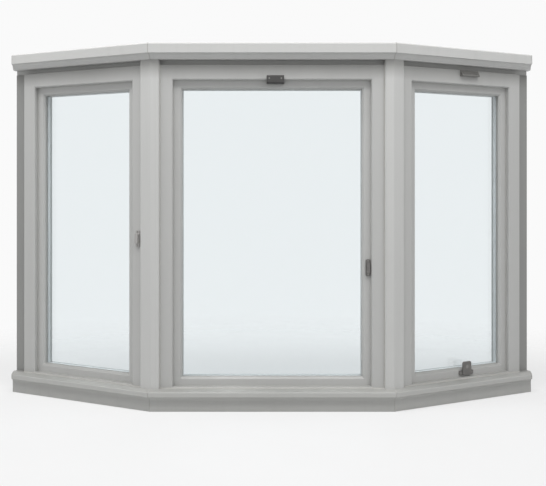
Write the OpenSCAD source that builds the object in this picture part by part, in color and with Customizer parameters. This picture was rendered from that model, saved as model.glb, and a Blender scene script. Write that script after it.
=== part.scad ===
// Three-sided bay window of grey plastic frames: a straight front light between two angled side
// lights, joined by corner posts, standing on a mitred sill under a mitred fascia.
// Millimetres. +Z is up, the outside faces -Y, the wall plane is Y = 0 and Z = 0 is the underside.

/* [Bay] */
// Width over the two wall jambs
bay_w = 2130; // [1700:10:2600]
// Width of the front side, corner to corner, at the faces of the frames
front_w = 914; // [700:2:1200]
// Angle of the side lights to the wall
bay_angle = 30; // [20:1:45]
// How far the outer ends of the side lights stand out from the wall plane
jamb_depth = 100; // [85:1:160]

/* [Heights] */
// Height of the window frames
frame_h = 1280; // [900:10:1800]
// Thickness of the seat board under the frames
sill_h = 32; // [24:1:45]
// How far the sill rises in front of the frames
sill_up = 52; // [30:1:52]
// Thickness of the head board
head_h = 79; // [66:1:110]
// Height of the open gap between the frames and the fascia
head_slot = 18; // [6:1:24]

/* [Frame] */
// Depth of the outer frame, outside to inside
frame_depth = 70; // [64:1:90]
// Width of the outer frame's face
frame_face = 58; // [52:1:80]
// Thickness of the lip that covers the edge of the sash
lip_t = 18; // [12:1:22]
// Overlap of that lip over the sash
lip_cover = 11; // [8:1:14]
// Bevel along the frame's inner edge
frame_bevel = 4; // [1:0.5:6]

/* [Sash] */
// Width of the sash that shows inside the frame
sash_face = 34; // [32:1:60]
// Bevel along the glass on the sash
sash_bevel = 8; // [2:0.5:10]
// How far the sash stands proud of the frame on the inside
sash_proud = 8; // [4:0.5:14]
// Overlap of the sash over the frame on the inside
sash_cover = 10; // [6:1:12]
// Gap between the sash and the frame's rebate
sash_gap = 3; // [2:0.5:5]
// Thickness of the sash lip in front of the glass
glass_lip = 16; // [10:1:18]

/* [Glass] */
// Thickness of one pane
pane_t = 4; // [3:0.5:6]
// Gap between the two panes
pane_gap = 16; // [10:1:18]
// Depth of glass held behind the sash lip
glass_bite = 12; // [9:0.5:14]
// Clearance between the glass edge and the sash
glass_clear = 4; // [2:0.5:6]
// Thickness of the rubber seals
seal_t = 2; // [1:0.5:3]
// How far a seal shows past the lip that holds it
seal_show = 1; // [0.5:0.5:2]

/* [Sill and fascia] */
// How far the sill and fascia stand out from the faces of the frames
overhang = 38; // [30:1:60]
// How far they run past the wall jambs at each end
horn = 4; // [0:1:30]
// Radius of the cove under the fascia
cove_r = 20; // [10:1:22]
// Radius of the cove under the sill's nose
sill_cove_r = 16; // [8:1:18]
// Height of the sill's nose
nose_h = 16; // [8:1:20]

/* [Posts] */
// How far the corner posts stand proud of the frames
post_proud = 14; // [8:1:16]
// Cover of a corner post along the front side
post_wing_front = 30; // [24:1:44]
// Cover of a corner post along the angled side
post_wing_side = 46; // [24:1:56]
// Radius of a corner post's outer edge
post_r = 10; // [4:1:12]
// Width of a corner post between the corner and the front frame
post_front = 22; // [20:1:30]
// Width of a corner post between the corner and the side frame
post_side = 37; // [20:1:44]
// How far the faces of the wall jambs lie behind those of the frames
jamb_set = 16; // [2:1:18]
// Width of a wall jamb beside the frame
jamb_w = 48; // [12:1:60]
// Width of each wing of the inside corner trim
trim_wing = 30; // [24:1:34]
// Thickness of the inside corner trim
trim_t = 8; // [4:1:12]

/* [Handles] */
// Height of the left light's handle above the frame's bottom
left_handle_z = 618; // [300:1:900]
// Height of the front light's handle above the frame's bottom
front_handle_z = 508; // [300:1:900]
// Length of an inside lever
lever_len = 118; // [80:1:140]
// Size of an inside handle's base, across and along
handle_base = [28, 66]; // [20:1:80]
// Size of an outside handle plate, across and along
plate_size = [19, 64]; // [16:1:70]
// Width of the catch at the top of the front light
catch_w = 66; // [40:1:90]
// How far the catch sits from the front light's middle
catch_x = 12; // [-60:1:60]
// How far the right light's stay and vent hood sit from its middle
stay_x = 34; // [-60:1:60]
// Width of the vent hood at the top of the right light
hood_w = 90; // [60:1:140]

/* [Hidden] */
$fn = 48;
eps = 0.01;
far = 4000;

frame_z = sill_h;
sill_top = sill_h + sill_up;
head_z = sill_h + frame_h;
side_len = (bay_w - front_w) / 2 / cos(bay_angle);
front_y = -jamb_depth - side_len * sin(bay_angle);
half_turn = tan(bay_angle / 2);

// Plan directions on the right-hand angled side: along it to the wall, and in through it
along = [cos(bay_angle), sin(bay_angle)];
inward = [-sin(bay_angle), cos(bay_angle)];
corner = [front_w / 2, front_y];
wall_end = [bay_w / 2, -jamb_depth];
// Step that moves a corner one millimetre in through both sides at once
corner_in = [-half_turn, 1];

front_frame_w = front_w - 2 * post_front;
side_frame_w = side_len - post_side - jamb_w;

// Section of the frame and sash: distances from the frame's outer edge, and depths from its face
rebate_u = frame_face - lip_cover - sash_gap;
sash_u = frame_face - lip_cover;
sash_d = lip_t + seal_t;
sash_back = frame_depth + sash_proud;
cover_gap = 0.5;
sight_u = frame_face + sash_face;
glass_u = sight_u - glass_bite;
glass_seat_u = glass_u - glass_clear;
pane_d = sash_d + glass_lip + seal_t;
unit_t = 2 * pane_t + pane_gap;
bead_d = pane_d + unit_t + seal_t;
seal_w = 8;
spacer_w = 9;
bead_show = 2;
bead_edge = 3;
mitre_gap = 0.3;

// Plan edge of the boards, behind the sill and fascia
board_d = 20;
shelf_d = post_proud + 3;

upvc = [0.69, 0.69, 0.69];
upvc_dark = [0.62, 0.62, 0.61];
rubber = [0.15, 0.15, 0.15];
metal = [0.25, 0.25, 0.25];

// Placing: a light's own frame has X along it, Y in through it and Z up from the frame's bottom

module on_front() {
    translate([0, front_y, frame_z]) children();
}

module on_right() {
    translate([corner[0], corner[1], frame_z])
        rotate([0, 0, bay_angle])
            translate([post_side + side_frame_w / 2, 0, 0]) children();
}

module on_left() {
    mirror([1, 0, 0]) on_right() children();
}

// Bars and rings

// A bar along X with its outer edge on Z = 0, mitred at both ends; section holds [width, depth] pairs
module mitred_bar(length, section, gap = 0) {
    reach = max([for (p = section) p[0]]) + 1;
    back = max([for (p = section) p[1]]) + 1;
    half = length / 2 - gap;
    intersection() {
        rotate([90, 0, 90])
            translate([0, 0, -length / 2])
                linear_extrude(length) polygon([for (p = section) [p[1], p[0]]]);
        translate([0, back, 0])
            rotate([90, 0, 0])
                linear_extrude(back + 1)
                    polygon([[-half, 0], [half, 0], [half - reach, reach], [reach - half, reach]]);
    }
}

// Four mitred bars round a light of the frame's outer size, centred on X, from Z = 0 up
module mitred_bars(w, h, section, gap) {
    mitred_bar(w, section, gap);
    translate([0, 0, h]) mirror([0, 0, 1]) mitred_bar(w, section, gap);
    for (side = [0, 1])
        mirror([side, 0, 0])
            translate([-w / 2, 0, h / 2]) rotate([0, 90, 0]) mitred_bar(h, section, gap);
}

// A block of the light's size less a margin that changes with depth; steps holds [margin, depth] pairs
// from the outside in
module stepped_block(w, h, steps) {
    back = [for (i = [len(steps) - 1:-1:0]) steps[i]];
    intersection() {
        linear_extrude(h)
            polygon(concat([for (s = steps) [s[0] - w / 2, s[1]]], [for (s = back) [w / 2 - s[0], s[1]]]));
        rotate([90, 0, 90])
            translate([0, 0, -w / 2])
                linear_extrude(w)
                    polygon(concat([for (s = steps) [s[1], s[0]]], [for (s = back) [s[1], h - s[0]]]));
    }
}

// A ring between an outer and an inner stepped block; the inner one runs out at both faces
module ring(w, h, outer, inner) {
    last = len(inner) - 1;
    difference() {
        stepped_block(w, h, outer);
        stepped_block(w, h, concat(
            [[inner[0][0], inner[0][1] - 1]], inner, [[inner[last][0], inner[last][1] + 1]]
        ));
    }
}

module flat_ring(w, h, u0, u1, d0, d1) {
    ring(w, h, [[u0, d0], [u0, d1]], [[u1, d0], [u1, d1]]);
}

// Pieces of one light, for a frame of outer width w

module frame(w) {
    color(upvc) ring(w, frame_h, [[0, 0], [0, frame_depth]], [
        [frame_face - frame_bevel, 0], [frame_face, frame_bevel], [frame_face, lip_t],
        [rebate_u, lip_t], [rebate_u, frame_depth]
    ]);
}

module sash(w) {
    cover_u = rebate_u - sash_cover;
    cover_d = frame_depth + cover_gap;
    color(upvc) ring(w, frame_h, [
        [sash_u, sash_d], [sash_u, cover_d], [cover_u, cover_d], [cover_u, sash_back]
    ], [
        [sight_u - sash_bevel, sash_d], [sight_u, sash_d + sash_bevel], [sight_u, sash_d + glass_lip],
        [glass_seat_u, sash_d + glass_lip], [glass_seat_u, sash_back]
    ]);
}

// Two panes, apart
module glass(w) {
    color([0.8, 0.88, 0.9, 0.35])
        for (d = [pane_d, pane_d + pane_t + pane_gap])
            translate([glass_u - w / 2, d, glass_u])
                cube([w - 2 * glass_u, pane_t, frame_h - 2 * glass_u]);
}

module spacer(w) {
    tip_u = sight_u + seal_show;
    color("silver")
        flat_ring(w, frame_h, tip_u - spacer_w, tip_u, pane_d + pane_t, pane_d + pane_t + pane_gap);
}

// Four lengths that hold the glass from inside, with open mitres
module bead(w) {
    tip_u = sight_u + bead_show;
    color(upvc) mitred_bars(w, frame_h, [
        [glass_seat_u, bead_d], [tip_u, bead_d], [tip_u, bead_d + bead_edge],
        [glass_seat_u + bead_show + seal_w, sash_back], [glass_seat_u, sash_back]
    ], mitre_gap);
}

// Weather seal behind the frame's lip, and a glazing seal on each face of the glass
module seal(w) {
    lip_u = frame_face + seal_show;
    glass_seal_u = sight_u + seal_show;
    color(rubber) {
        flat_ring(w, frame_h, lip_u - seal_w, lip_u, lip_t, sash_d);
        for (d = [pane_d - seal_t, pane_d + unit_t])
            flat_ring(w, frame_h, glass_seal_u - seal_w, glass_seal_u, d, d + seal_t);
    }
}

// Handles: X along the light, Y in through it, standing on the plane Y = 0

module rounded_plate(w, h, t, r) {
    rotate([90, 0, 0]) linear_extrude(t) {
        square([w - 2 * r, h], center = true);
        square([w, h - 2 * r], center = true);
        for (x = [-1, 1], z = [-1, 1]) translate([x * (w / 2 - r), z * (h / 2 - r)]) circle(r);
    }
}

// Plate with a short pull, on the outside of a sash
module outer_handle() {
    plate_t = 5;
    pull_w = 13;
    pull_reach = 11;
    color(metal) {
        rounded_plate(plate_size[0], plate_size[1], plate_t, 6);
        translate([0, -plate_t + eps, 0])
            rounded_plate(pull_w, plate_size[1] * 0.62, pull_reach, 5);
    }
}

// Plate on the bottom rail with a thumb piece that stands up in front of the glass
module outer_stay() {
    plate_t = 5;
    thumb_h = 54;
    thumb_w = 44;
    color(metal) {
        rounded_plate(plate_size[1] + 8, plate_size[0], plate_t, 6);
        translate([0, -plate_t + eps, (thumb_h - plate_size[0]) / 2])
            rounded_plate(thumb_w, thumb_h, plate_t, 9);
    }
}

// Base, neck and lever, on the inside of a sash; the lever hangs down
module inner_handle() {
    base_t = 10;
    neck_r = 9;
    neck_len = 30;
    lever_w = 20;
    lever_t = 13;
    color(metal) mirror([0, 1, 0]) {
        rounded_plate(handle_base[0], handle_base[1], base_t, 8);
        translate([0, -base_t + eps, 0]) rotate([90, 0, 0]) cylinder(r = neck_r, h = neck_len);
        translate([0, -base_t - neck_len + lever_t, (lever_w - lever_len) / 2])
            rounded_plate(lever_w, lever_len, lever_t, lever_w / 2 - 1);
    }
}

// Catch on the frame's head that hooks down in front of the sash
module top_catch() {
    on_face = 18;
    on_sash = 15;
    stand = 8;
    color(metal) rotate([90, 0, 90]) translate([0, 0, -catch_w / 2]) linear_extrude(catch_w)
        polygon([
            [0, on_face], [-stand, on_face - 4], [-stand, -on_sash + 6], [-stand + 6, -on_sash],
            [sash_d, -on_sash], [sash_d, -eps], [0, -eps]
        ]);
}

// Hooded vent on the frame's head
module vent_hood() {
    hood_h = 24;
    stand = 14;
    color(metal) rotate([90, 0, 90]) translate([0, 0, -hood_w / 2]) linear_extrude(hood_w)
        polygon([[0, 0], [0, hood_h], [-4, hood_h], [-stand, 8], [-stand, 0]]);
}

// Handle plates stand clear of the weather seal on the sash, or beside the corner post on the frame's
// face; the stay sits higher on its rail
stile_u = frame_face + seal_show + plate_size[0] / 2 + seal_show;
stay_u = stile_u + 4;
frame_plate_u = post_wing_side - post_side + plate_size[0] / 2 + 8;
inner_stile_u = (rebate_u - sash_cover + glass_seat_u) / 2;

// Handle places: on the stile at the light's own -X or +X side, or on its bottom rail
module outside_stile(w, side, z) {
    translate([side * (w / 2 - stile_u), sash_d, z]) children();
}

module frame_stile(w, side, z) {
    translate([side * (w / 2 - frame_plate_u), 0, z]) children();
}

module inside_stile(w, side, z) {
    translate([side * (w / 2 - inner_stile_u), sash_back, z]) children();
}

// Sill and fascia

// A section of [depth, height] pairs run along one side of the bay and cut at the corner mitres
module run_front(section) {
    intersection() {
        translate([0, front_y, 0])
            rotate([90, 0, 90]) translate([0, 0, -bay_w / 2]) linear_extrude(bay_w) polygon(section);
        translate([0, 0, -1])
            linear_extrude(far)
                polygon([
                    mitre_point(-2 * overhang), mitre_point(2 * overhang),
                    flip(mitre_point(2 * overhang)), flip(mitre_point(-2 * overhang))
                ]);
    }
}

module run_right(section) {
    end_x = bay_w / 2 + horn;
    intersection() {
        translate(corner)
            rotate([0, 0, bay_angle])
                rotate([90, 0, 90])
                    translate([0, 0, -bay_w / 4]) linear_extrude(bay_w) polygon(section);
        translate([0, 0, -1])
            linear_extrude(far)
                polygon([
                    mitre_point(-2 * overhang), [end_x, front_y - 2 * overhang],
                    [end_x, 0], [corner[0], 0], mitre_point(2 * overhang)
                ]);
    }
}

// Point on the corner's mitre line, a distance in through the sides
function mitre_point(d) = corner + d * corner_in;
function flip(p) = [-p[0], p[1]];

// Board edge, upstand over the foot of the frames, flat shelf for the posts, sloping nose and a cove
nose_low = sill_top - 11 - nose_h;
foot_d = overhang - 2 - sill_cove_r;
sill_section = concat(
    [[board_d, 0], [board_d, sill_h], [0, sill_h], [0, sill_top], [-shelf_d, sill_top]],
    [[4 - overhang, sill_top - 6], [1 - overhang, sill_top - 8], [-overhang, sill_top - 11]],
    [[-overhang, nose_low]],
    [for (a = [90:-15:0]) [-foot_d - sill_cove_r * (1 - cos(a)), nose_low - sill_cove_r * (1 - sin(a))]],
    [[-foot_d, 0]]
);

// Flat soffit above the gap, cove and square top edge
soffit_z = head_z + head_slot;
cove_z = soffit_z + 2;
cove_lip = overhang - cove_r - 2;
fascia_section = concat(
    [[board_d, head_z + head_h], [board_d, soffit_z], [-cove_lip, soffit_z]],
    [for (a = [0:15:90]) [-cove_lip - cove_r + cove_r * cos(a), cove_z + cove_r * sin(a)]],
    [[-overhang, cove_z + cove_r], [-overhang, head_z + head_h - 4], [4 - overhang, head_z + head_h]]
);

module sill_front() {
    color(upvc_dark) run_front(sill_section);
}

module sill_right() {
    color(upvc_dark) run_right(sill_section);
}

module fascia_front() {
    color(upvc) run_front(fascia_section);
}

module fascia_right() {
    color(upvc) run_right(fascia_section);
}

// Boards that close the bay at the bottom and the top
module board(t) {
    edge = [
        corner + board_d * corner_in,
        [bay_w / 2, -jamb_depth + board_d / cos(bay_angle)],
        [bay_w / 2, 0]
    ];
    linear_extrude(t) polygon(concat(edge, [for (i = [2:-1:0]) flip(edge[i])]));
}

module seat_board() {
    color(upvc) board(sill_h);
}

module head_board() {
    color(upvc) translate([0, 0, head_z]) board(head_h);
}

// Posts

// Wedge between two frames with a cover that laps over both of them from the sill to the fascia
module corner_post() {
    out = -inward;
    cut = 4;
    nose = corner - (post_proud - post_r) * corner_in;
    front_tip = corner - [post_wing_front, 0];
    side_tip = corner + post_wing_side * along;
    wedge = [
        corner + post_side * along, corner + post_side * along + frame_depth * inward,
        corner + frame_depth * corner_in, corner + [-post_front, frame_depth], corner - [post_front, 0]
    ];
    // Over the frames, back to the edge of the head board
    top = [
        corner + post_side * along, corner + post_side * along + board_d * inward,
        corner + board_d * corner_in, corner + [-post_front, board_d], corner - [post_front, 0]
    ];
    cover = concat(
        [front_tip, front_tip - [0, post_proud - cut], front_tip - [-cut, post_proud]],
        [for (i = [0:4]) let (a = -90 + bay_angle * i / 4) nose + post_r * [cos(a), sin(a)]],
        [side_tip + post_proud * out - cut * along, side_tip + (post_proud - cut) * out, side_tip]
    );
    color(upvc) {
        upright(frame_z, sill_top + 1, concat([corner], wedge));
        upright(sill_top, head_z, concat(cover, wedge));
        upright(head_z - 1, soffit_z, concat(cover, top));
    }
}

module upright(z0, z1, outline) {
    translate([0, 0, z0]) linear_extrude(z1 - z0) polygon(outline);
}

// Strip over the joint between two frames, inside
module corner_trim() {
    inner = corner + frame_depth * corner_in;
    cut = 2;
    outline = [
        inner - [trim_wing, 0], inner, inner + trim_wing * along,
        inner + trim_wing * along + (trim_t - cut) * inward,
        inner + (trim_wing - cut) * along + trim_t * inward,
        inner + trim_t * corner_in,
        inner + [cut - trim_wing, trim_t], inner + [-trim_wing, trim_t - cut]
    ];
    color(upvc) upright(frame_z, head_z, outline);
}

// Post between the end of a side frame and the wall; above the sill its face lies behind the frame's
module wall_jamb() {
    frame_end = wall_end - jamb_w * along;
    frame_back = frame_end + frame_depth * inward;
    back = [[bay_w / 2, 0], [frame_back[0], 0], frame_back];
    color(upvc) {
        upright(frame_z, sill_top, concat([wall_end], back, [frame_end]));
        upright(sill_top - 1, head_z, concat(
            [[bay_w / 2, jamb_set / cos(bay_angle) - jamb_depth]], back, [frame_end + jamb_set * inward]
        ));
    }
}

seat_board();
head_board();
mirror([1, 0, 0]) sill_right();  // sill_left
sill_front();
sill_right();
mirror([1, 0, 0]) fascia_right();  // fascia_left
fascia_front();
fascia_right();
mirror([1, 0, 0]) corner_post();  // corner_post_left
corner_post();  // corner_post_right
mirror([1, 0, 0]) corner_trim();  // corner_trim_left
corner_trim();  // corner_trim_right
mirror([1, 0, 0]) wall_jamb();  // wall_jamb_left
wall_jamb();  // wall_jamb_right
on_left() frame(side_frame_w);  // frame_left
on_front() frame(front_frame_w);  // frame_front
on_right() frame(side_frame_w);  // frame_right
on_left() sash(side_frame_w);  // sash_left
on_front() sash(front_frame_w);  // sash_front
on_right() sash(side_frame_w);  // sash_right
on_left() glass(side_frame_w);  // glass_left
on_front() glass(front_frame_w);  // glass_front
on_right() glass(side_frame_w);  // glass_right
on_left() spacer(side_frame_w);  // spacer_left
on_front() spacer(front_frame_w);  // spacer_front
on_right() spacer(side_frame_w);  // spacer_right
on_left() bead(side_frame_w);  // bead_left
on_front() bead(front_frame_w);  // bead_front
on_right() bead(side_frame_w);  // bead_right
on_left() seal(side_frame_w);  // seal_left
on_front() seal(front_frame_w);  // seal_front
on_right() seal(side_frame_w);  // seal_right
on_left() frame_stile(side_frame_w, -1, left_handle_z) outer_handle();  // outer_handle_left
on_front() outside_stile(front_frame_w, 1, front_handle_z) outer_handle();  // outer_handle_front
on_right() translate([stay_x, sash_d, stay_u]) outer_stay();  // outer_stay_right
on_left() inside_stile(side_frame_w, -1, left_handle_z) inner_handle();  // inner_handle_left
on_front() inside_stile(front_frame_w, 1, front_handle_z) inner_handle();  // inner_handle_front
on_right() translate([0, sash_back, inner_stile_u]) rotate([0, 90, 0]) inner_handle();  // inner_handle_right
on_front() translate([catch_x, 0, frame_h - frame_face]) top_catch();  // top_catch_front
on_right() translate([stay_x, 0, frame_h - frame_face / 2 + 4]) vent_hood();  // vent_hood_right
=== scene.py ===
"""Bay window in light grey plastic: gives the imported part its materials, fittings and studio."""

import math

import bmesh
import bpy
from bpy.props import FloatProperty, IntProperty, PointerProperty, StringProperty
from bpy.types import Operator, Panel, PropertyGroup
from mathutils import Matrix, Vector


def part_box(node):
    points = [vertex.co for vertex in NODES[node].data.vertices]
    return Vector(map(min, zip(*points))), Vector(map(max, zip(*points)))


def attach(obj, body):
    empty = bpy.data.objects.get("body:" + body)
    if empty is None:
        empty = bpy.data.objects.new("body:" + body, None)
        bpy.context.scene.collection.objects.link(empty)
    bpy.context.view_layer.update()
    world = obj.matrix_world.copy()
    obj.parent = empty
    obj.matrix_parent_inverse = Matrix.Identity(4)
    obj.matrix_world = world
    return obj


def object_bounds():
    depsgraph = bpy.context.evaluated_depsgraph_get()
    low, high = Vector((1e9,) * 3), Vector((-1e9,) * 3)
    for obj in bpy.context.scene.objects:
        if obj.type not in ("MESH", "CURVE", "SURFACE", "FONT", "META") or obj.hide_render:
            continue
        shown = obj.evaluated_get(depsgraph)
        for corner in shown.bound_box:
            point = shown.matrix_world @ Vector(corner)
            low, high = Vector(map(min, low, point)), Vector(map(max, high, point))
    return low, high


bl_info = {
    "name": "Bay Window Dressing",
    "version": (1, 0, 0),
    "blender": (4, 5, 0),
    "location": "View3D > Sidebar > Bay Window",
    "description": "Materials, welds, sealant, screws, caps and a studio for a three-sided bay window",
    "category": "Object",
}

MM = 0.001
SIDES = ("left", "front", "right")
CORNERS = ("left", "right")
BAY_ANGLE = math.radians(30)
PHOTO_W, PHOTO_H = 546, 486

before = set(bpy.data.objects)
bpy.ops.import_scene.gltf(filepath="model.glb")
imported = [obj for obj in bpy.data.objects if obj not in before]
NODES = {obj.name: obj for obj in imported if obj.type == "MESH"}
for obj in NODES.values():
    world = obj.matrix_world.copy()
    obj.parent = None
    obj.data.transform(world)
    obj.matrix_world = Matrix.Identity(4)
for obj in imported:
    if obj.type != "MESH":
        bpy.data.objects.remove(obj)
CAD_LOW, CAD_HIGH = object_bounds()

# Places on the section of a light, as the part has them, in from the frame's outer edge: the inner edge of
# the frame's face, both edges of the sash's face outside, and both edges of its face in the room
FRAME_FACE = 54 * MM
SASH_EDGE, SASH_FACE = 60 * MM, 83 * MM
SASH_COVER, SASH_INNER = 34 * MM, 75 * MM
# How deep the sash's faces lie behind the frame's face, outside and in the room
SASH_DEPTH, SASH_BACK = 20 * MM, 78 * MM
# How far the corner posts lap over a frame's face, and how deep the wall jambs' faces lie beside it
POST_LAP_FRONT = 8 * MM
POST_LAP_SIDE = 9 * MM
JAMB_SET = 16 * MM
# How far the outside fittings and the levers' bases stand from the face that carries them
PLATE_STAND = 5 * MM
STAY_BOSS_STAND = 10 * MM
CATCH_STAND = 8 * MM
LEVER_BASE_STAND = 10 * MM
# From the middle of an inside handle to the free end of its base
LEVER_BASE_END = 62 * MM
# Sloping front of the vent hood at its lower and its upper edge: height above the hood's bottom, and stand
# from the frame
HOOD_LOWER, HOOD_UPPER = (8 * MM, 14 * MM), (24 * MM, 4 * MM)

# Small pieces that the part leaves to this script: thicknesses of the fills and caps
MITRE_FILL = 1.5 * MM
END_CAP = 2.5 * MM
END_CAP_ROUND = 1 * MM
# Rise of the fixing caps on the jambs, and how far they sit from the wall
FIXING_CAP_RISE = 2 * MM
FIXING_CAP_IN = 26 * MM
# Rise of a screw at the bottom of its slot and at its head
SCREW_BED = 0.4 * MM
SCREW_RISE = 1 * MM
LOCK_RADIUS = 5 * MM
LOCK_RISE = 3 * MM
# Louvres of the hood: how many, the height of the first and the steps between them, half length and section
LOUVRES = 3
LOUVRE_FIRST = 10.5 * MM
LOUVRE_STEP = 4.5 * MM
LOUVRE_HALF = 40 * MM
LOUVRE_SECTION = [Vector(p) * MM for p in ((0, 1, 1), (0, -2, -0.6), (0, -2, -1.4), (0, 1, -0.4))]

# Corners of the part's meshes that are closer than this are one, and faces this close to a plane lie in it
SAME_POINT = 0.01 * MM
SAME_PLANE = 0.05 * MM

# Dust on the plastic, and painted shade: a darker tone below the fascia and on faces that look up
DUST_SHADE_TONE = "#6F6E6A"

# The stage, in metres
WHITE = "#FAFAFA"
FLOOR_RADIUS = 2.7
FLOOR_FADE = (1.2, 2.6)
FLOOR_AT = (0, -0.25, -0.5 * MM)
KEY_SIZE, KEY_AT = (8.2, 2.0), (-0.34, -2.14, 4.87)
FILL_SIZE, FILL_AT = (2.4, 1.6), (0, 2.2, 1.6)
LAMP_AIM = Vector((0, -0.4, 0.9))


def light_place(side):
    """Matrix of a light's own frame: X along it, Y in through it, Z up from the frame's bottom."""
    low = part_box(f"frame_{side}")[0]
    if side == "front":
        return Matrix.Translation((0, low.y, low.z))
    if side == "left":
        return Matrix.Scale(-1, 4, (1, 0, 0)) @ light_place("right")
    start = Vector((low.x + light_depth() * math.sin(BAY_ANGLE), low.y, low.z))
    half = Matrix.Translation((light_width(side) / 2, 0, 0))
    return Matrix.Translation(start) @ Matrix.Rotation(BAY_ANGLE, 4, "Z") @ half


def light_depth():
    low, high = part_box("frame_front")
    return high.y - low.y


def light_width(side):
    low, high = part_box(f"frame_{side}")
    if side == "front":
        return high.x - low.x
    return (high.x - low.x - light_depth() * math.sin(BAY_ANGLE)) / math.cos(BAY_ANGLE)


def light_height():
    low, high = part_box("frame_front")
    return high.z - low.z


def middle_in_light(node, side):
    """Middle of a node's box, in the light's own frame."""
    return light_place(side).inverted() @ (sum(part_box(node), Vector()) / 2)


def outward(side):
    """Which way along X a side of the bay lies: 1 for the right, -1 for the left."""
    return 1 if side == "right" else -1


# Materials


def linear(hex_colour):
    """Linear colour of an sRGB hex value."""
    parts = [int(hex_colour[i:i + 2], 16) / 255 for i in (1, 3, 5)]
    return tuple(c / 12.92 if c <= 0.04045 else ((c + 0.055) / 1.055) ** 2.4 for c in parts) + (1.0,)


def add(tree, kind, inputs=None, **settings):
    """Adds a node: settings are its properties, and inputs its values or the sockets that feed them."""
    made = tree.nodes.new(kind)
    for name, value in settings.items():
        setattr(made, name, value)
    for name, value in (inputs or {}).items():
        if isinstance(value, bpy.types.NodeSocket):
            tree.links.new(value, made.inputs[name])
        else:
            made.inputs[name].default_value = value
    return made


def per_metre(size_mm):
    """Texture scale at which a pattern repeats every size_mm."""
    return 1000 / size_mm


def new_material(name):
    made = bpy.data.materials.new(name)
    made.use_nodes = True
    made.node_tree.nodes.clear()
    return made, made.node_tree


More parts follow.
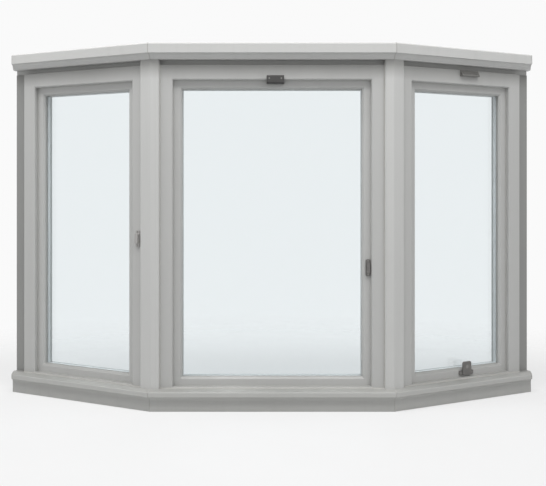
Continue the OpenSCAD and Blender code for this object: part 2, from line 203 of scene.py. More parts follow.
def extruded_upvc(name, colour, run, fascia_dust_and_shade=0.0, ledge_dust_and_shade=0.0):
    """Extruded uPVC: an even satin skin with faint die lines along the run, and painted shade in the
    creases.

    run is the stretch of the die lines, in millimetres along X, Y and Z.
    The fourth argument is the share of dust and painted shade under the fascia, and the fifth on faces that
    look up.
    """
    made, tree = new_material(name)
    where = add(tree, "ShaderNodeTexCoord").outputs["Object"]
    # Cloudy ageing, a hand's breadth across, that keeps a long face from looking like one flat tone
    cloud = add(tree, "ShaderNodeTexNoise", {"Vector": where, "Scale": per_metre(260), "Detail": 4.0})
    fresh = linear(colour)
    dulled = tuple(c * 0.94 for c in fresh[:3]) + fresh[3:]
    aged = add(tree, "ShaderNodeMix", {0: cloud.outputs["Fac"], 6: fresh, 7: dulled}, data_type="RGBA")
    # Rain streaks, long and thin down the faces
    streak_at = add(tree, "ShaderNodeMapping", {
        "Vector": where, "Scale": (per_metre(24), per_metre(24), per_metre(900)),
    })
    streak = add(tree, "ShaderNodeTexNoise", {"Vector": streak_at.outputs[0], "Scale": 1.0, "Detail": 5.0})
    streak_step = add(tree, "ShaderNodeMapRange", {
        "Value": streak.outputs["Fac"], "From Min": 0.52, "From Max": 0.78, "To Max": 0.07,
    })
    streaked = add(tree, "ShaderNodeMix", {
        0: streak_step.outputs[0], 6: aged.outputs[2], 7: linear("#8B8A84"),
    }, data_type="RGBA")
    # Dust and painted shade of the fascia, thinning out in an uneven edge some 50 mm below it, on faces
    # that look outside
    facing = add(tree, "ShaderNodeSeparateXYZ", {
        "Vector": add(tree, "ShaderNodeNewGeometry").outputs["Normal"],
    })
    outside = add(tree, "ShaderNodeMapRange", {
        "Value": facing.outputs["Y"], "From Min": 0.0, "From Max": -0.4, "To Max": fascia_dust_and_shade,
    })
    rise = add(tree, "ShaderNodeSeparateXYZ", {"Vector": where})
    uneven = add(tree, "ShaderNodeMath", {
        0: cloud.outputs["Fac"], 1: 20 * MM, 2: rise.outputs["Z"],
    }, operation="MULTIPLY_ADD")
    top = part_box("frame_front")[1].z
    fascia_dust_shade_ramp = add(tree, "ShaderNodeMapRange", {
        "Value": uneven.outputs[0], "From Min": top - 45 * MM, "From Max": top + 10 * MM,
        "To Max": outside.outputs[0],
    })
    fascia_dust_shaded_tone = add(tree, "ShaderNodeMix", {
        0: fascia_dust_shade_ramp.outputs[0], 6: streaked.outputs[2], 7: linear(DUST_SHADE_TONE),
    }, data_type="RGBA")
    # Dust on faces that look up, thicker in some places than in others, and painted shade that tones down
    # these tops under the overhead lamp
    patchy = add(tree, "ShaderNodeMapRange", {
        "Value": cloud.outputs["Fac"], "From Min": 0.3, "From Max": 0.7,
        "To Min": 0.7 * ledge_dust_and_shade, "To Max": 1.3 * ledge_dust_and_shade,
    })
    ledge = add(tree, "ShaderNodeMapRange", {
        "Value": facing.outputs["Z"], "From Min": 0.3, "From Max": 0.8, "To Max": patchy.outputs[0],
    })
    ledged = add(tree, "ShaderNodeMix", {
        0: ledge.outputs[0], 6: fascia_dust_shaded_tone.outputs[2], 7: linear(DUST_SHADE_TONE),
    }, data_type="RGBA")
    # Painted shade, grey, where two pieces meet and in hollows
    crease = add(tree, "ShaderNodeAmbientOcclusion", {"Distance": 30 * MM}, samples=6)
    crease_shade_ramp = add(tree, "ShaderNodeMapRange", {
        "Value": crease.outputs["AO"], "From Min": 0.2, "From Max": 0.7, "To Min": 0.3, "To Max": 0.0,
    })
    crease_shaded_tone = add(tree, "ShaderNodeMix", {
        0: crease_shade_ramp.outputs[0], 6: ledged.outputs[2], 7: linear("#7C7B76"),
    }, data_type="RGBA")
    # Die lines, a few millimetres apart, drawn coarser than the real ones so that they show
    die_at = add(tree, "ShaderNodeMapping", {
        "Vector": where, "Scale": tuple(per_metre(size) for size in run),
    })
    die = add(tree, "ShaderNodeTexNoise", {"Vector": die_at.outputs[0], "Scale": 1.0, "Detail": 3.0})
    relief = add(tree, "ShaderNodeBump", {
        "Height": die.outputs["Fac"], "Strength": 0.05, "Distance": 0.3 * MM,
    })
    satin = add(tree, "ShaderNodeMapRange", {
        "Value": cloud.outputs["Fac"], "To Min": 0.34, "To Max": 0.5,
    })
    skin = add(tree, "ShaderNodeBsdfPrincipled", {
        "Base Color": crease_shaded_tone.outputs[2], "Roughness": satin.outputs[0], "IOR": 1.53,
        "Normal": relief.outputs[0],
    })
    add(tree, "ShaderNodeOutputMaterial", {"Surface": skin.outputs[0]})
    return made


def float_glass(name, tint):
    """Drawn float glass: clear, with a faint cold tint and plain mirror reflections."""
    made, tree = new_material(name)
    pane = add(tree, "ShaderNodeBsdfPrincipled", {
        "Base Color": linear(tint), "Roughness": 0.0, "IOR": 1.52, "Transmission Weight": 1.0,
    })
    # Lamps shine straight through, as they do through a flat pane
    clear = add(tree, "ShaderNodeBsdfTransparent", {"Color": linear(tint)})
    path = add(tree, "ShaderNodeLightPath")
    through = add(tree, "ShaderNodeMath", {
        0: path.outputs["Is Shadow Ray"], 1: path.outputs["Is Diffuse Ray"],
    }, operation="MAXIMUM")
    both = add(tree, "ShaderNodeMixShader", {
        0: through.outputs[0], 1: pane.outputs[0], 2: clear.outputs[0],
    })
    add(tree, "ShaderNodeOutputMaterial", {"Surface": both.outputs[0]})
    return made


def rolled_aluminium(name, colour):
    """Roll-formed and anodised aluminium strip: pale and matt, with fine lines along the roll."""
    made, tree = new_material(name)
    where = add(tree, "ShaderNodeTexCoord").outputs["Object"]
    # Roll lines every 2 mm, coarser than the real ones so that they show
    lines = add(tree, "ShaderNodeTexNoise", {"Vector": where, "Scale": per_metre(2), "Detail": 2.0})
    sheen = add(tree, "ShaderNodeMapRange", {"Value": lines.outputs["Fac"], "To Min": 0.5, "To Max": 0.65})
    strip = add(tree, "ShaderNodeBsdfPrincipled", {
        "Base Color": linear(colour), "Metallic": 1.0, "Roughness": sheen.outputs[0],
    })
    add(tree, "ShaderNodeOutputMaterial", {"Surface": strip.outputs[0]})
    return made


def extruded_rubber(name, colour):
    """Extruded EPDM rubber: dull pale grey, with a darker bloom."""
    made, tree = new_material(name)
    where = add(tree, "ShaderNodeTexCoord").outputs["Object"]
    bloom = add(tree, "ShaderNodeTexNoise", {"Vector": where, "Scale": per_metre(35), "Detail": 4.0})
    bloomed = add(tree, "ShaderNodeMix", {
        0: bloom.outputs["Fac"], 6: linear(colour), 7: linear("#A9A9A5"),
    }, data_type="RGBA")
    lip = add(tree, "ShaderNodeBsdfPrincipled", {
        "Base Color": bloomed.outputs[2], "Roughness": 0.72, "IOR": 1.5,
    })
    add(tree, "ShaderNodeOutputMaterial", {"Surface": lip.outputs[0]})
    return made


def powder_coat(name, colour, worn):
    """Powder-coated metal: a fine pebbled satin skin, rubbed paler in patches."""
    made, tree = new_material(name)
    where = add(tree, "ShaderNodeTexCoord").outputs["Object"]
    # Pebbles of about 1.2 mm, coarser than the real ones so that they show
    pebble = add(tree, "ShaderNodeTexNoise", {"Vector": where, "Scale": per_metre(1.2), "Detail": 2.0})
    relief = add(tree, "ShaderNodeBump", {
        "Height": pebble.outputs["Fac"], "Strength": 0.2, "Distance": 0.2 * MM,
    })
    rub = add(tree, "ShaderNodeTexNoise", {"Vector": where, "Scale": per_metre(18), "Detail": 3.0})
    rub_step = add(tree, "ShaderNodeMapRange", {
        "Value": rub.outputs["Fac"], "From Min": 0.5, "From Max": 0.8, "To Max": 0.6,
    })
    rubbed = add(tree, "ShaderNodeMix", {
        0: rub_step.outputs[0], 6: linear(colour), 7: linear(worn),
    }, data_type="RGBA")
    coat = add(tree, "ShaderNodeBsdfPrincipled", {
        "Base Color": rubbed.outputs[2], "Roughness": 0.42, "IOR": 1.5, "Normal": relief.outputs[0],
    })
    add(tree, "ShaderNodeOutputMaterial", {"Surface": coat.outputs[0]})
    return made


def gunned_silicone(name, colour):
    """Gunned silicone sealant: smooth, and a little glossier than the plastic beside it."""
    made, tree = new_material(name)
    where = add(tree, "ShaderNodeTexCoord").outputs["Object"]
    # Tooling ripples a thumb apart
    ripple = add(tree, "ShaderNodeTexNoise", {"Vector": where, "Scale": per_metre(20), "Detail": 2.0})
    relief = add(tree, "ShaderNodeBump", {
        "Height": ripple.outputs["Fac"], "Strength": 0.3, "Distance": 0.5 * MM,
    })
    tone = add(tree, "ShaderNodeMix", {
        0: ripple.outputs["Fac"], 6: linear(colour), 7: linear("#A3A29D"),
    }, data_type="RGBA")
    bead = add(tree, "ShaderNodeBsdfPrincipled", {
        "Base Color": tone.outputs[2], "Roughness": 0.3, "IOR": 1.41, "Normal": relief.outputs[0],
    })
    add(tree, "ShaderNodeOutputMaterial", {"Surface": bead.outputs[0]})
    return made


def plated_steel(name, colour):
    """Zinc-plated steel: pale metal with a cloudy plated bloom."""
    made, tree = new_material(name)
    where = add(tree, "ShaderNodeTexCoord").outputs["Object"]
    bloom = add(tree, "ShaderNodeTexNoise", {"Vector": where, "Scale": per_metre(4), "Detail": 3.0})
    sheen = add(tree, "ShaderNodeMapRange", {"Value": bloom.outputs["Fac"], "To Min": 0.3, "To Max": 0.5})
    plate = add(tree, "ShaderNodeBsdfPrincipled", {
        "Base Color": linear(colour), "Metallic": 1.0, "Roughness": sheen.outputs[0],
    })
    add(tree, "ShaderNodeOutputMaterial", {"Surface": plate.outputs[0]})
    return made


# Mesh helpers


def piece_from(bm, name, finish, place=None):
    """Makes a piece of the window from a mesh in a light's own frame, or in the part's frame."""
    if place is not None:
        bmesh.ops.transform(bm, matrix=place, verts=bm.verts)
    bmesh.ops.recalc_face_normals(bm, faces=bm.faces)
    mesh = bpy.data.meshes.new(name)
    bm.to_mesh(mesh)
    bm.free()
    made = bpy.data.objects.new(name, mesh)
    bpy.context.scene.collection.objects.link(made)
    mesh.materials.append(finish)
    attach(made, "root")
    return made


def bar_between(bm, start, end, outline):
    """Runs an outline of offsets, as vectors, from start to end and closes both ends."""
    rings = [[bm.verts.new(Vector(at) + Vector(p)) for p in outline] for at in (start, end)]
    count = len(outline)
    for i in range(count):
        j = (i + 1) % count
        bm.faces.new((rings[0][i], rings[0][j], rings[1][j], rings[1][i]))
    bm.faces.new(rings[0][::-1])
    bm.faces.new(rings[1])


def fillet_outline(leg_a, leg_b, steps=4):
    """A hollow triangular fillet in the corner between two directions, as offsets from the corner."""
    a, b = Vector(leg_a), Vector(leg_b)
    outline = [Vector((0, 0, 0))]
    for i in range(steps + 1):
        t = math.pi / 2 * i / steps
        outline.append(a * (1 - math.sin(t)) + b * (1 - math.cos(t)))
    return outline


def dome(bm, centre, normal, radius, height, rings=4, around=20):
    """A low dome that stands on a face."""
    turn = Vector(normal).to_track_quat("Z", "Y").to_matrix()
    rows = []
    for r in range(rings):
        t = math.pi / 2 * r / rings
        row = []
        for i in range(around):
            a = 2 * math.pi * i / around
            local = Vector((math.cos(a) * math.cos(t), math.sin(a) * math.cos(t), 0)) * radius
            local.z = height * math.sin(t)
            row.append(bm.verts.new(Vector(centre) + turn @ local))
        rows.append(row)
    top = bm.verts.new(Vector(centre) + turn @ Vector((0, 0, height)))
    for low, high in zip(rows, rows[1:]):
        for i in range(around):
            j = (i + 1) % around
            bm.faces.new((low[i], low[j], high[j], high[i]))
    for i in range(around):
        bm.faces.new((rows[-1][i], rows[-1][(i + 1) % around], top))
    bm.faces.new(rows[0][::-1])


# Settings


class BayWindowFinish(PropertyGroup):
    frame_colour: StringProperty(
        name="Frame colour", description="Colour of the frames and sashes", default="#BBBBB9")
    # A paler tone than the frames': painted light on the proud posts and trims
    post_lit_colour: StringProperty(
        name="Post colour", description="Colour of the corner posts and trims", default="#C7C7C5")
    # A darker tone than the frames': painted shade on the jambs, which lie back beside the side lights
    jamb_shaded_colour: StringProperty(
        name="Jamb colour", description="Colour of the wall jambs", default="#8F8F8D")
    # A paler tone than the frames': painted light on the fascia at the top; the seat board shares it
    fascia_lit_colour: StringProperty(
        name="Fascia colour", description="Colour of the fascia and the seat board", default="#C8C8C6")
    # A greyer tone than the fascia's: painted shade in the slot under the fascia
    head_shaded_colour: StringProperty(
        name="Head colour", description="Colour of the head board", default="#B4B4B2")
    # A darker tone than the frames': painted shade at the bottom of the window, on the sill
    sill_shaded_colour: StringProperty(
        name="Sill colour", description="Colour of the sill", default="#B8B8B5")
    glass_tint: StringProperty(
        name="Glass tint", description="Colour of light that has passed one face of a pane",
        default="#F6F9FA")
    seal_colour: StringProperty(
        name="Seal colour", description="Colour of the rubber seals", default="#C4C4C0")
    fitting_colour: StringProperty(
        name="Outside fittings", description="Colour of the front handle and the stay", default="#6A6866")
    left_handle_colour: StringProperty(
        name="Left handle", description="Colour of the left light's outside handle", default="#A8A6A4")
    catch_colour: StringProperty(
        name="Catch colour", description="Colour of the catch at the front light's head", default="#403F3E")
    hood_colour: StringProperty(
        name="Hood colour", description="Colour of the vent hood", default="#6F6E6B")
    lever_colour: StringProperty(
        name="Inside levers", description="Colour of the inside handles", default="#CFCFCB")
    # Dust and painted shade: a darker band on the frames, posts and jambs just below the fascia
    fascia_dust_and_shade: FloatProperty(
        name="Dust and painted shade below the fascia", description="Share of dust and painted shade just below the fascia", default=0.55,
        min=0, max=1, subtype="FACTOR")
    # Dust and painted shade: a darker tone on the sill, frames and sashes where they look up
    ledge_dust_and_shade: FloatProperty(
        name="Dust and painted shade on ledges", description="Share of dust and painted shade on the sill and other ledges", default=0.45,
        min=0, max=1, subtype="FACTOR")
    edge_round: FloatProperty(
        name="Edge rounding", description="Rounding on the long edges of the plastic", default=1.2 * MM,
        min=0, max=3 * MM, unit="LENGTH", precision=4)


class BayWindowDetail(PropertyGroup):
    weld_width: FloatProperty(
        name="Weld width", description="Width of a corner weld", default=2.4 * MM,
        unit="LENGTH", precision=4)
    weld_height: FloatProperty(
        name="Weld height", description="How far a weld stands proud", default=0.35 * MM,
        unit="LENGTH", precision=5)
    sealant_leg: FloatProperty(
        name="Sealant leg", description="Leg of a sealant fillet", default=3.5 * MM,
        unit="LENGTH", precision=4)
    mitre_proud: FloatProperty(
        name="Mitre fill", description="How far the filled mitres stand proud", default=0.3 * MM,
        unit="LENGTH", precision=5)
    screw_radius: FloatProperty(
        name="Screw radius", description="Radius of a screw head", default=3 * MM,
        unit="LENGTH", precision=4)
    pivot_radius: FloatProperty(
        name="Pivot radius", description="Radius of the pivot screw in the stay", default=7 * MM,
        unit="LENGTH", precision=4)
    cap_radius: FloatProperty(
        name="Cap radius", description="Radius of a fixing cap on the wall jambs", default=8 * MM,
        unit="LENGTH", precision=4)
    caps_per_jamb: IntProperty(
        name="Caps per jamb", description="Fixing caps up each wall jamb", default=4, min=2, max=8)


class BayWindowStage(PropertyGroup):
    camera_x: FloatProperty(
        name="Camera offset", description="Camera's place along the wall", default=-0.015, unit="LENGTH")
    camera_away: FloatProperty(
        name="Camera distance", description="Camera's distance from the wall plane", default=4.1,
        unit="LENGTH")
    camera_z: FloatProperty(
        name="Camera height", description="Camera's height above the sill's underside", default=0.852,
        unit="LENGTH")
    focal_px: FloatProperty(
        name="Focal length in pixels", description="Focal length over the photo's width", default=962.3)
    centre_x_px: FloatProperty(
        name="Centre X", description="Where the camera's axis meets the photo, from the left",
        default=268.2)
    centre_y_px: FloatProperty(
        name="Centre Y", description="Where the camera's axis meets the photo, from the top",
        default=185.8)
    key_power: FloatProperty(
        name="Key power", description="Power of the overhead soft box", default=310, unit="POWER")
    fill_power: FloatProperty(
        name="Fill power", description="Power of the soft box in the room behind", default=24, unit="POWER")
    sky_strength: FloatProperty(
        name="Light from above", description="Strength of the even light from above", default=0.2)
    ground_strength: FloatProperty(
        name="Light from below", description="Strength of the even light from below", default=0.64)


class BAYWINDOW_OT_finishes(Operator):
    """Give every piece of the part its material and soften its edges"""
    bl_idname = "baywindow.finishes"
    bl_label = "Finishes"

    def execute(self, context):
        finish = context.scene.bay_window_finish
        # stretch of the die lines in millimetres: even in mitred rings, up the posts, along the level runs
        along_all = (9, 9, 9)
        up = (6, 6, 900)
        level = (900, 900, 5)
        # The posts' and fascia's paler tones are painted light, and the jambs', head board's and sill's
        # darker ones painted shade
        coats = {
            "frame": extruded_upvc("extruded uPVC frame", finish.frame_colour, along_all, finish.fascia_dust_and_shade,
                                   finish.ledge_dust_and_shade),
            "sash": extruded_upvc("extruded uPVC sash", finish.frame_colour, along_all,
                                  ledge_dust_and_shade=finish.ledge_dust_and_shade),
            "bead": extruded_upvc("extruded uPVC bead", finish.frame_colour, along_all),
            "corner_post": extruded_upvc("extruded uPVC post", finish.post_lit_colour, up, finish.fascia_dust_and_shade),
            "corner_trim": extruded_upvc("extruded uPVC trim", finish.post_lit_colour, up),
            "wall_jamb": extruded_upvc("extruded uPVC jamb", finish.jamb_shaded_colour, up, finish.fascia_dust_and_shade),
            "fascia": extruded_upvc("extruded uPVC fascia", finish.fascia_lit_colour, level),
            "sill": extruded_upvc("extruded uPVC sill", finish.sill_shaded_colour, level, ledge_dust_and_shade=finish.ledge_dust_and_shade),
            "head_board": extruded_upvc("foamed uPVC board, grey as painted slot shade", finish.head_shaded_colour, level),
            "seat_board": extruded_upvc("foamed uPVC board", finish.fascia_lit_colour, level),
            "glass": float_glass("float glass", finish.glass_tint),
            "spacer": rolled_aluminium("anodised aluminium spacer", "#E4E6E7"),
            "seal": extruded_rubber("extruded EPDM seal", finish.seal_colour),
            "outer_handle_left": powder_coat("powder-coated zinc, light grey", finish.left_handle_colour,
                                             "#B2B0AE"),
            "outer": powder_coat("powder-coated zinc, grey", finish.fitting_colour, "#888683"),
            "top_catch": powder_coat("powder-coated zinc, dark", finish.catch_colour, "#565554"),
            "vent_hood": powder_coat("powder-coated aluminium hood", finish.hood_colour, "#868581"),
            "inner_handle": powder_coat("powder-coated zinc, pale", finish.lever_colour, "#B5B5B0"),
        }
        sharp = ("glass", "spacer", "seal")
        for name, cad in NODES.items():
            kind = next((k for k in coats if k in name), None)
            if kind is None:
                raise RuntimeError(f"no finish for {name}")
            cad.data.materials.clear()
            cad.data.materials.append(coats[kind])
            if kind not in sharp:
                soften(cad, finish.edge_round)
        return {"FINISHED"}


def soften(cad, width):
    """Rounds an object's long edges by modifiers, so the part's own mesh stays as it is."""
    weld = cad.modifiers.new("join facets", "WELD")
    weld.merge_threshold = SAME_POINT
    flat = cad.modifiers.new("clear flat faces", "DECIMATE")
    flat.decimate_type = "DISSOLVE"
    flat.angle_limit = math.radians(0.5)
    bevel = cad.modifiers.new("rounded edges", "BEVEL")
    bevel.width = width
    bevel.segments = 2
    bevel.limit_method = "ANGLE"
    bevel.angle_limit = math.radians(20)
    bevel.harden_normals = True


class BAYWINDOW_OT_welds(Operator):
    """Run a low weld along the corner mitres of the frames and sashes"""
    bl_idname = "baywindow.welds"
    bl_label = "Corner Welds"

    def execute(self, context):
        detail = context.scene.bay_window_detail
        finish = bpy.data.materials["extruded uPVC frame"]
        for side in SIDES:
            w, h = light_width(side), light_height()
            bm = bmesh.new()
            runs = (
                # from, to, depth, outward, corners: the sill hides the frame's lower ones
                (POST_LAP_SIDE, FRAME_FACE, 0, -1, ((-1, -1), (1, -1))),
                (SASH_EDGE, SASH_FACE, SASH_DEPTH, -1, ((-1, 1), (1, 1), (-1, -1), (1, -1))),
                (SASH_COVER, SASH_INNER, SASH_BACK, 1, ((-1, 1), (1, 1), (-1, -1), (1, -1))),
            )
            for start, end, depth, out, corners in runs:
                for across, up in corners:
                    corner = Vector((across * w / 2, depth, 0 if up > 0 else h))
                    inward = Vector((-across, 0, up))
                    aside = Vector((up, 0, across)).normalized() * detail.weld_width / 2
                    crown = Vector((0, out * detail.weld_height, 0))
                    bar_between(bm, corner + inward * start, corner + inward * end, (aside, crown, -aside))
            piece_from(bm, f"welds_{side}", finish, light_place(side))
        return {"FINISHED"}


class BAYWINDOW_OT_sealant(Operator):
    """Gun a fillet of sealant where the sill, posts and jambs meet the frames, and fill the mitres"""
    bl_idname = "baywindow.sealant"
    bl_label = "Sealant"

    def execute(self, context):
        detail = context.scene.bay_window_detail
        leg = detail.sealant_leg
        finish = gunned_silicone("gunned silicone", "#B9B8B4")
        out = Vector((0, -leg, 0))
        up = Vector((0, 0, leg))
        along = Vector((leg, 0, 0))
        sill_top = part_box("sill_front")[1].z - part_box("frame_front")[0].z
        for side in SIDES:
            w, h = light_width(side), light_height()
            left = (POST_LAP_FRONT if side == "front" else POST_LAP_SIDE) - w / 2
            right, depth, into = (-left, 0, -along) if side == "front" else (w / 2, JAMB_SET, along)
            bm = bmesh.new()
            bar_between(bm, (left, 0, sill_top), (right, 0, sill_top), fillet_outline(out, up))
            bar_between(bm, (left, 0, sill_top), (left, 0, h), fillet_outline(along, out))
            bar_between(bm, (right, depth, sill_top), (right, depth, h), fillet_outline(into, out))
            piece_from(bm, f"sealant_{side}", finish, light_place(side))
        for run in ("sill", "fascia"):
            for side in CORNERS:
                bm = section_at(f"{run}_front", mitre_normal(side))
                outset(bm, detail.mitre_proud)
                thicken(bm, mitre_normal(side) * MITRE_FILL)
                piece_from(bm, f"{run}_mitre_{side}", finish)
        return {"FINISHED"}


def mitre_normal(side):
    """Direction across the corner mitre, out of the front side."""
    turn = BAY_ANGLE / 2
    return Vector((math.cos(turn) * outward(side), math.sin(turn), 0))


def section_at(node, normal):
    """The end face of a part's piece that looks along normal, as one flat face."""
    bm = bmesh.new()
    bm.from_mesh(NODES[node].data)
    bmesh.ops.remove_doubles(bm, verts=bm.verts, dist=SAME_POINT)
    reach = max(v.co.dot(normal) for v in bm.verts)
    away = [f for f in bm.faces if any(v.co.dot(normal) < reach - SAME_PLANE for v in f.verts)]
    bmesh.ops.delete(bm, geom=away, context="FACES")
    if not bm.faces:
        raise RuntimeError(f"no end face on {node}")
    bmesh.ops.dissolve_faces(bm, faces=bm.faces[:])
    return bm


def outset(bm, reach):
    """Moves the outline of a single flat face outwards, but not below the floor."""
    moves = []
    for loop in bm.faces[:][0].loops:
        normal = loop.face.normal
        before = (loop.vert.co - loop.link_loop_prev.vert.co).normalized().cross(normal)
        after = (loop.link_loop_next.vert.co - loop.vert.co).normalized().cross(normal)
        moves.append((loop.vert, (before + after) * reach / (1 + before.dot(after))))
    for vert, step in moves:
        vert.co += step
        vert.co.z = max(vert.co.z, CAD_LOW.z)


def thicken(bm, step):
    """Gives a flat mesh a thickness, as a step to one side."""
    made = bmesh.ops.extrude_face_region(bm, geom=bm.faces[:])["geom"]
    bmesh.ops.translate(bm, verts=[v for v in made if isinstance(v, bmesh.types.BMVert)], vec=step)


class BAYWINDOW_OT_end_caps(Operator):
    """Close the ends of the sill and the fascia with plastic caps"""
    bl_idname = "baywindow.end_caps"
    bl_label = "End Caps"

    def execute(self, context):
        for run in ("sill", "fascia"):
            finish = bpy.data.materials[f"extruded uPVC {run}"]
            for side in CORNERS:
                end = Vector((outward(side), 0, 0))
                bm = section_at(f"{run}_{side}", end)
                thicken(bm, end * END_CAP)
                rim = [e for e in bm.edges if all(abs(v.co.x) > CAD_HIGH.x + END_CAP / 2 for v in e.verts)]
                bmesh.ops.bevel(bm, geom=rim, offset=END_CAP_ROUND, segments=2, affect="EDGES")
                piece_from(bm, f"{run}_cap_{side}", finish)
        return {"FINISHED"}


class BAYWINDOW_OT_fixings(Operator):
    """Press caps over the wall fixings and screw the fittings on"""
    bl_idname = "baywindow.fixings"
    bl_label = "Fixings"

    def execute(self, context):
        detail = context.scene.bay_window_detail
        pale = bpy.data.materials["extruded uPVC jamb"]
        for side in CORNERS:
            low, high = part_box(f"wall_jamb_{side}")
            face_x = low.x if side == "right" else high.x
            inward = (-outward(side), 0, 0)
            bm = bmesh.new()
            for i in range(detail.caps_per_jamb):
                z = low.z + (high.z - low.z) * (i + 0.5) / detail.caps_per_jamb
                dome(bm, (face_x, -FIXING_CAP_IN, z), inward, detail.cap_radius, FIXING_CAP_RISE)
            piece_from(bm, f"fixing_caps_{side}", pale)

        steel = plated_steel("zinc-plated steel", "#8E8D8A")
        small, large = detail.screw_radius, detail.pivot_radius
        sash_plate = SASH_DEPTH - PLATE_STAND
        stay_boss = SASH_DEPTH - STAY_BOSS_STAND
        screws = (
            # piece, node, depth of the face it is in, radius, places in millimetres from the node's middle
            ("screws_handle_left", "outer_handle_left", -PLATE_STAND, small, ((0, 26), (0, -26))),
            ("screws_handle_front", "outer_handle_front", sash_plate, small, ((0, 26), (0, -26))),
            ("screws_stay", "outer_stay_right", sash_plate, small, ((29, -17.5), (-29, -17.5))),
            ("pivot_stay", "outer_stay_right", stay_boss, large, ((0, 6),)),
            ("screws_catch", "top_catch_front", -CATCH_STAND, small, ((23, 4), (-23, 4))),
        )
        for name, node, depth, radius, places in screws:
            side = node.split("_")[-1]
            middle = middle_in_light(node, side)
            bm = bmesh.new()
            for x, z in places:
                slotted_screw(bm, Vector((middle.x + x * MM, depth, middle.z + z * MM)), radius)
            piece_from(bm, name, steel, light_place(side))
        return {"FINISHED"}


def slotted_screw(bm, at, radius):
    """A low countersunk head with an open slot, on a face that looks out of the light."""
    out = Vector((0, -1, 0))
    dome(bm, at, out, radius, SCREW_BED)
    # each half of the head leaves this share of its half turn open, at both of its ends, for the slot
    slot, steps, inset = 0.06, 8, 0.96
    for turn in (0, math.pi):
        angles = [turn + math.pi * (slot + (1 - 2 * slot) * i / steps) for i in range(steps + 1)]
        half = [Vector((math.cos(a), 0, math.sin(a))) * radius * inset for a in angles]
        bar_between(bm, at, at + out * SCREW_RISE, half)


class BAYWINDOW_OT_hood_louvres(Operator):
    """Line the vent hood with louvres"""
    bl_idname = "baywindow.hood_louvres"
    bl_label = "Hood Louvres"

    def execute(self, context):
        finish = bpy.data.materials["powder-coated aluminium hood"]
        middle = middle_in_light("vent_hood_right", "right")
        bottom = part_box("vent_hood_right")[0].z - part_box("frame_right")[0].z
        (low, low_stand), (high, high_stand) = HOOD_LOWER, HOOD_UPPER
        half = Vector((LOUVRE_HALF, 0, 0))
        bm = bmesh.new()
        for i in range(LOUVRES):
            rise = LOUVRE_FIRST + LOUVRE_STEP * i
            stand = low_stand + (high_stand - low_stand) * (rise - low) / (high - low)
            at = Vector((middle.x, -stand, bottom + rise))
            bar_between(bm, at - half, at + half, LOUVRE_SECTION)
        piece_from(bm, "hood_louvres", finish, light_place("right"))
        return {"FINISHED"}


class BAYWINDOW_OT_lever_locks(Operator):
    """Set a push-button lock in the base of each inside lever"""
    bl_idname = "baywindow.lever_locks"
    bl_label = "Lever Locks"

    def execute(self, context):
        steel = bpy.data.materials["zinc-plated steel"]
        for side in SIDES:
            at = middle_in_light(f"inner_handle_{side}", side)
            at.y = SASH_BACK + LEVER_BASE_STAND
            # the base's free end: above the lever on the stiles, beyond it on the bottom rail
            if side == "right":
                at.x += LEVER_BASE_END
            else:
                at.z += LEVER_BASE_END
            bm = bmesh.new()
            dome(bm, at, (0, 1, 0), LOCK_RADIUS, LOCK_RISE)
            piece_from(bm, f"lever_lock_{side}", steel, light_place(side))
        return {"FINISHED"}


def shown_rays(tree):
    """Socket that is 1 for rays that show the background: straight, mirrored or through glass."""
    path = add(tree, "ShaderNodeLightPath")
    mirrored = add(tree, "ShaderNodeMath", {
        0: path.outputs["Is Camera Ray"], 1: path.outputs["Is Glossy Ray"],
    }, operation="MAXIMUM")
    return add(tree, "ShaderNodeMath", {
        0: mirrored.outputs[0], 1: path.outputs["Is Transmission Ray"],
    }, operation="MAXIMUM").outputs[0]


def studio_floor():
    """A pale floor that keeps the window's shadow and fades into the background around it."""
    made, tree = new_material("painted studio floor")
    where = add(tree, "ShaderNodeTexCoord").outputs["Object"]
    mottle = add(tree, "ShaderNodeTexNoise", {"Vector": where, "Scale": per_metre(400), "Detail": 3.0})
    pale = add(tree, "ShaderNodeMix", {
        0: mottle.outputs["Fac"], 6: linear("#E2E2E2"), 7: linear("#DCDCDC"),
    }, data_type="RGBA")
    shown = shown_rays(tree)
    # A dull bounce, so that the underside of the window keeps its shade
    tone = add(tree, "ShaderNodeMix", {
        0: shown, 6: linear("#C8C8C8"), 7: pale.outputs[2],
    }, data_type="RGBA")
    matt = add(tree, "ShaderNodeBsdfDiffuse", {"Color": tone.outputs[2]})
    white = add(tree, "ShaderNodeEmission", {"Color": linear(WHITE), "Strength": 1.0})
    seen = add(tree, "ShaderNodeMath", {0: shown, 1: 0.6}, operation="MULTIPLY")
    lit = add(tree, "ShaderNodeMixShader", {0: seen.outputs[0], 1: matt.outputs[0], 2: white.outputs[0]})
    away = add(tree, "ShaderNodeVectorMath", {0: where}, operation="LENGTH")
    edge = add(tree, "ShaderNodeMapRange", {
        "Value": away.outputs["Value"], "From Min": FLOOR_FADE[0], "From Max": FLOOR_FADE[1],
    }, interpolation_type="SMOOTHSTEP")
    # Clear from below, so that the underside of the window can be seen
    below = add(tree, "ShaderNodeNewGeometry").outputs["Backfacing"]
    open_to = add(tree, "ShaderNodeMath", {0: edge.outputs[0], 1: below}, operation="MAXIMUM")
    clear = add(tree, "ShaderNodeBsdfTransparent")
    faded = add(tree, "ShaderNodeMixShader", {
        0: open_to.outputs[0], 1: lit.outputs[0], 2: clear.outputs[0],
    })
    add(tree, "ShaderNodeOutputMaterial", {"Surface": faded.outputs[0]})
    bm = bmesh.new()
    bmesh.ops.create_circle(bm, cap_ends=True, segments=64, radius=FLOOR_RADIUS)
    mesh = bpy.data.meshes.new("floor")
    bm.to_mesh(mesh)
    bm.free()
    mesh.materials.append(made)
    floor = bpy.data.objects.new("floor", mesh)
    floor.location = FLOOR_AT
    return floor


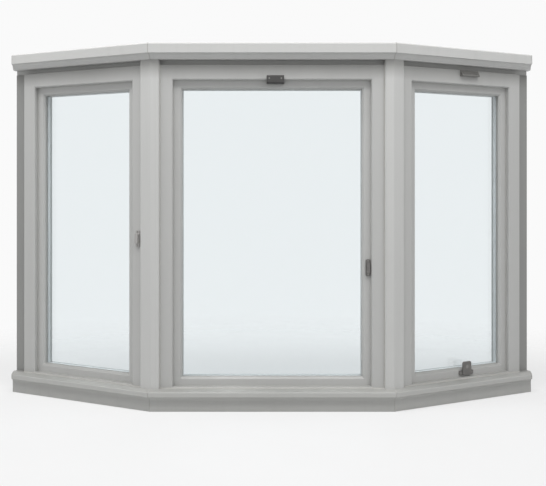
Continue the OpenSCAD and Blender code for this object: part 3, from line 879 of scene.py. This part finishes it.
def studio_room(sky, ground):
    """Even light that is weaker from above, where the soft box is, with a white background."""
    world = bpy.data.worlds.new("studio")
    world.use_nodes = True
    tree = world.node_tree
    tree.nodes.clear()
    way = add(tree, "ShaderNodeSeparateXYZ", {
        "Vector": add(tree, "ShaderNodeTexCoord").outputs["Generated"],
    })
    height = add(tree, "ShaderNodeMapRange", {
        "Value": way.outputs["Z"], "From Min": 0.1, "From Max": 0.9, "To Min": ground, "To Max": sky,
    }, interpolation_type="SMOOTHSTEP")
    room = add(tree, "ShaderNodeBackground", {"Color": linear("#F6F7F8"), "Strength": height.outputs[0]})
    white = add(tree, "ShaderNodeBackground", {"Color": linear(WHITE), "Strength": 1.0})
    both = add(tree, "ShaderNodeMixShader", {0: shown_rays(tree), 1: room.outputs[0], 2: white.outputs[0]})
    add(tree, "ShaderNodeOutputWorld", {"Surface": both.outputs[0]})
    return world


def soft_box(name, power, size, place):
    """A rectangular lamp that looks at the middle of the window."""
    lamp = bpy.data.lights.new(name, "AREA")
    lamp.shape = "RECTANGLE"
    lamp.size, lamp.size_y = size
    lamp.energy = power
    made = bpy.data.objects.new(name, lamp)
    made.location = place
    aim = LAMP_AIM - made.location
    made.rotation_euler = aim.to_track_quat("-Z", "Y").to_euler()
    return made


class BAYWINDOW_OT_stage(Operator):
    """Set up the floor, the lamps, the room light and the camera"""
    bl_idname = "baywindow.stage"
    bl_label = "Stage"

    def execute(self, context):
        stage = context.scene.bay_window_stage
        scene = context.scene
        scene.view_settings.view_transform = "Standard"

        scene.collection.objects.link(studio_floor())
        scene.world = studio_room(stage.sky_strength, stage.ground_strength)

        key = soft_box("overhead soft box", stage.key_power, KEY_SIZE, KEY_AT)
        fill = soft_box("room soft box", stage.fill_power, FILL_SIZE, FILL_AT)
        # the panes would show the lamp in the room as a bright sheet
        fill.visible_camera = fill.visible_glossy = fill.visible_transmission = False
        for lamp in (key, fill):
            scene.collection.objects.link(lamp)

        lens = bpy.data.cameras.new("camera")
        lens.lens = lens.sensor_width * stage.focal_px / PHOTO_W
        lens.shift_x = (PHOTO_W / 2 - stage.centre_x_px) / PHOTO_W
        lens.shift_y = (stage.centre_y_px - PHOTO_H / 2) / PHOTO_W
        camera = bpy.data.objects.new("camera", lens)
        camera.location = (stage.camera_x, -stage.camera_away, stage.camera_z)
        camera.rotation_euler = (math.pi / 2, 0, 0)
        scene.collection.objects.link(camera)
        scene.camera = camera
        return {"FINISHED"}


class BAYWINDOW_PT_panel(Panel):
    """Steps and settings of the bay window"""
    bl_idname = "BAYWINDOW_PT_panel"
    bl_label = "Bay Window"
    bl_space_type = "VIEW_3D"
    bl_region_type = "UI"
    bl_category = "Bay Window"

    def draw(self, context):
        for step in STEPS:
            self.layout.operator(step.bl_idname)
        for group in SETTINGS:
            values = getattr(context.scene, group)
            box = self.layout.box()
            for name in values.__annotations__:
                box.prop(values, name)


STEPS = (
    BAYWINDOW_OT_finishes, BAYWINDOW_OT_welds, BAYWINDOW_OT_sealant, BAYWINDOW_OT_end_caps,
    BAYWINDOW_OT_fixings, BAYWINDOW_OT_hood_louvres, BAYWINDOW_OT_lever_locks, BAYWINDOW_OT_stage,
)
SETTINGS = {
    "bay_window_finish": BayWindowFinish,
    "bay_window_detail": BayWindowDetail,
    "bay_window_stage": BayWindowStage,
}
CLASSES = (*SETTINGS.values(), *STEPS, BAYWINDOW_PT_panel)


def register():
    for cls in CLASSES:
        bpy.utils.register_class(cls)
    for name, group in SETTINGS.items():
        setattr(bpy.types.Scene, name, PointerProperty(type=group))


def unregister():
    for name in SETTINGS:
        delattr(bpy.types.Scene, name)
    for cls in reversed(CLASSES):
        bpy.utils.unregister_class(cls)


def main():
    register()
    bpy.ops.baywindow.finishes()
    bpy.ops.baywindow.welds()
    bpy.ops.baywindow.sealant()
    bpy.ops.baywindow.end_caps()
    bpy.ops.baywindow.fixings()
    bpy.ops.baywindow.hood_louvres()
    bpy.ops.baywindow.lever_locks()
    bpy.ops.baywindow.stage()


if __name__ == "__main__":
    main()
